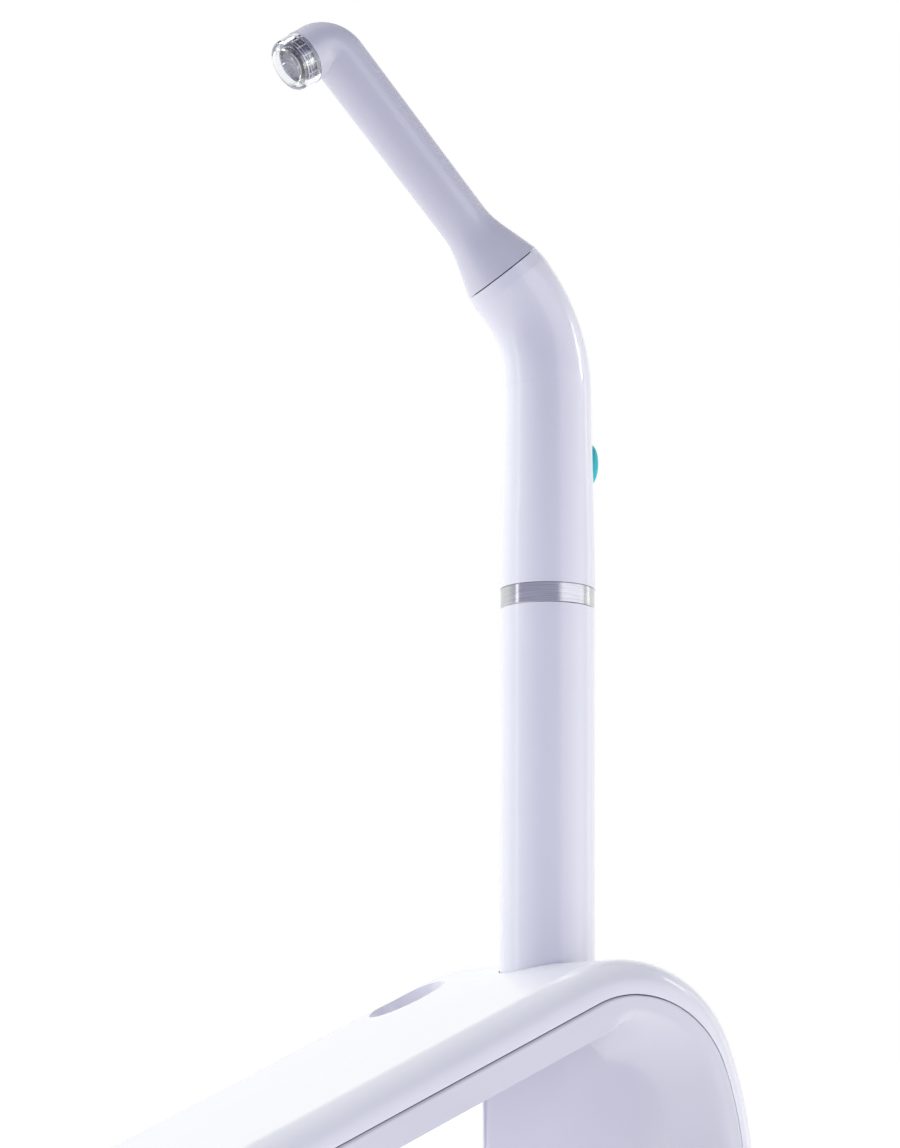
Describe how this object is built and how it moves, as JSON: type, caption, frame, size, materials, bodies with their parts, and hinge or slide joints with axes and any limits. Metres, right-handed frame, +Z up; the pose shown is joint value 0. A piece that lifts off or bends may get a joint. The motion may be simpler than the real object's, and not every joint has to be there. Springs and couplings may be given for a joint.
{
  "type": "dental curing light",
  "caption": "Cordless dental LED curing light: a bent wand handpiece with a clear-capped lens, standing in a humped charging base with a light meter.",
  "frame": {"origin": "on the table, at the centre of the base's footprint", "axes": "+Z up along the battery handle, -X towards the lens, +Y to the light meter's side"},
  "size_m": [0.1436, 0.096, 0.3054],
  "materials": {
    "white_gloss": "polished white ABS",
    "white_base": "polished white ABS, base",
    "inner_plastic": "moulded nylon",
    "steel": "brushed stainless steel",
    "screw_steel": "plated steel",
    "ballast_steel": "blackened steel plate",
    "teal": "satin silicone-soft plastic",
    "clear": "clear polycarbonate",
    "smoked": "tinted polycarbonate",
    "mirror": "vacuum-plated reflector",
    "ribbed_metal": "machined aluminium",
    "copper": "copper",
    "gold": "gold-plated brass",
    "pcb": "green solder mask",
    "chip": "epoxy package",
    "die": "LED dies under phosphor-free silicone",
    "cell": "shrink sleeve",
    "rubber": "soft rubber",
    "wire": "silicone insulation",
    "bearing": "acetal"
  },
  "bodies": {
    "base": {"base_top_cover": "white_base", "base_lower_shell": "white_base", "base_bottom_plate": "inner_plastic", "ballast_plate": "ballast_steel", "rubber_feet": "rubber", "base_screws": "screw_steel", "cradle_sleeve": "bearing", "contact_block": "inner_plastic", "charger_board": "pcb", "charger_chips": "chip", "board_screws": "screw_steel", "dc_inlet": "chip", "radiometer_lens": "smoked", "radiometer_sensor": "chip", "radiometer_board": "pcb", "charge_spring_centre": "screw_steel", "charge_spring_outer": "screw_steel"},
    "charge_pin_centre": {"charge_pin_centre": "gold"},
    "charge_pin_outer": {"charge_pin_outer": "gold"},
    "battery_handle": {"battery_tube": "white_gloss", "battery_end_cap": "inner_plastic", "charge_contacts": "gold", "battery_spring": "screw_steel", "battery_cell_lower": "cell", "cell_spacer": "bearing", "battery_cell_upper": "cell", "battery_board": "pcb", "battery_plug": "inner_plastic", "plug_contacts": "gold", "o_ring": "rubber"},
    "handpiece": {"steel_ring": "steel", "handpiece_shell": "white_gloss", "battery_socket": "inner_plastic", "socket_contacts": "gold", "control_board": "pcb", "board_chips": "chip", "tact_switch": "chip", "buzzer": "chip", "indicator_lens": "smoked", "neck_bearing": "bearing"},
    "button": {"activation_button": "teal", "button_plunger": "bearing"},
    "light_head": {"wand_shell": "white_gloss", "wand_plug": "inner_plastic", "heat_pipe": "copper", "heat_slug": "copper", "led_board": "pcb", "led_emitter": "die", "reflector": "mirror", "cap_ring": "ribbed_metal", "led_window": "clear", "led_wires": "wire"},
    "lens_cap": {"lens_cap": "clear"}
  },
  "joints": [
    {"name": "handpiece_lift", "type": "slide", "parent": "base", "child": "battery_handle", "axis": [0, 0, 1], "range_m": [0, 0.06]},
    {"name": "battery_release", "type": "slide", "parent": "battery_handle", "child": "handpiece", "axis": [0, 0, 1], "range_m": [0, 0.022]},
    {"name": "head_turn", "type": "hinge", "parent": "handpiece", "child": "light_head", "pos_m": [0.02217, 0, 0.24305], "axis": [-0.6769, 0, 0.7361], "continuous": true},
    {"name": "lens_cap_pull", "type": "slide", "parent": "light_head", "child": "lens_cap", "axis": [-0.7869, 0, -0.617], "range_m": [0, 0.009]},
    {"name": "button_press", "type": "slide", "parent": "handpiece", "child": "button", "axis": [-1, 0, 0], "range_m": [0, 0.0005], "stiffness_N_per_m": 2000},
    {"name": "charge_pin_centre_travel", "type": "slide", "parent": "base", "child": "charge_pin_centre", "axis": [0, 0, -1], "range_m": [0, 0.0012], "stiffness_N_per_m": 300, "springref_m": -0.0005, "deforming": ["charge_spring_centre"]},
    {"name": "charge_pin_outer_travel", "type": "slide", "parent": "base", "child": "charge_pin_outer", "axis": [0, 0, -1], "range_m": [0, 0.0012], "stiffness_N_per_m": 300, "springref_m": -0.0005, "deforming": ["charge_spring_outer"]}
  ]
}
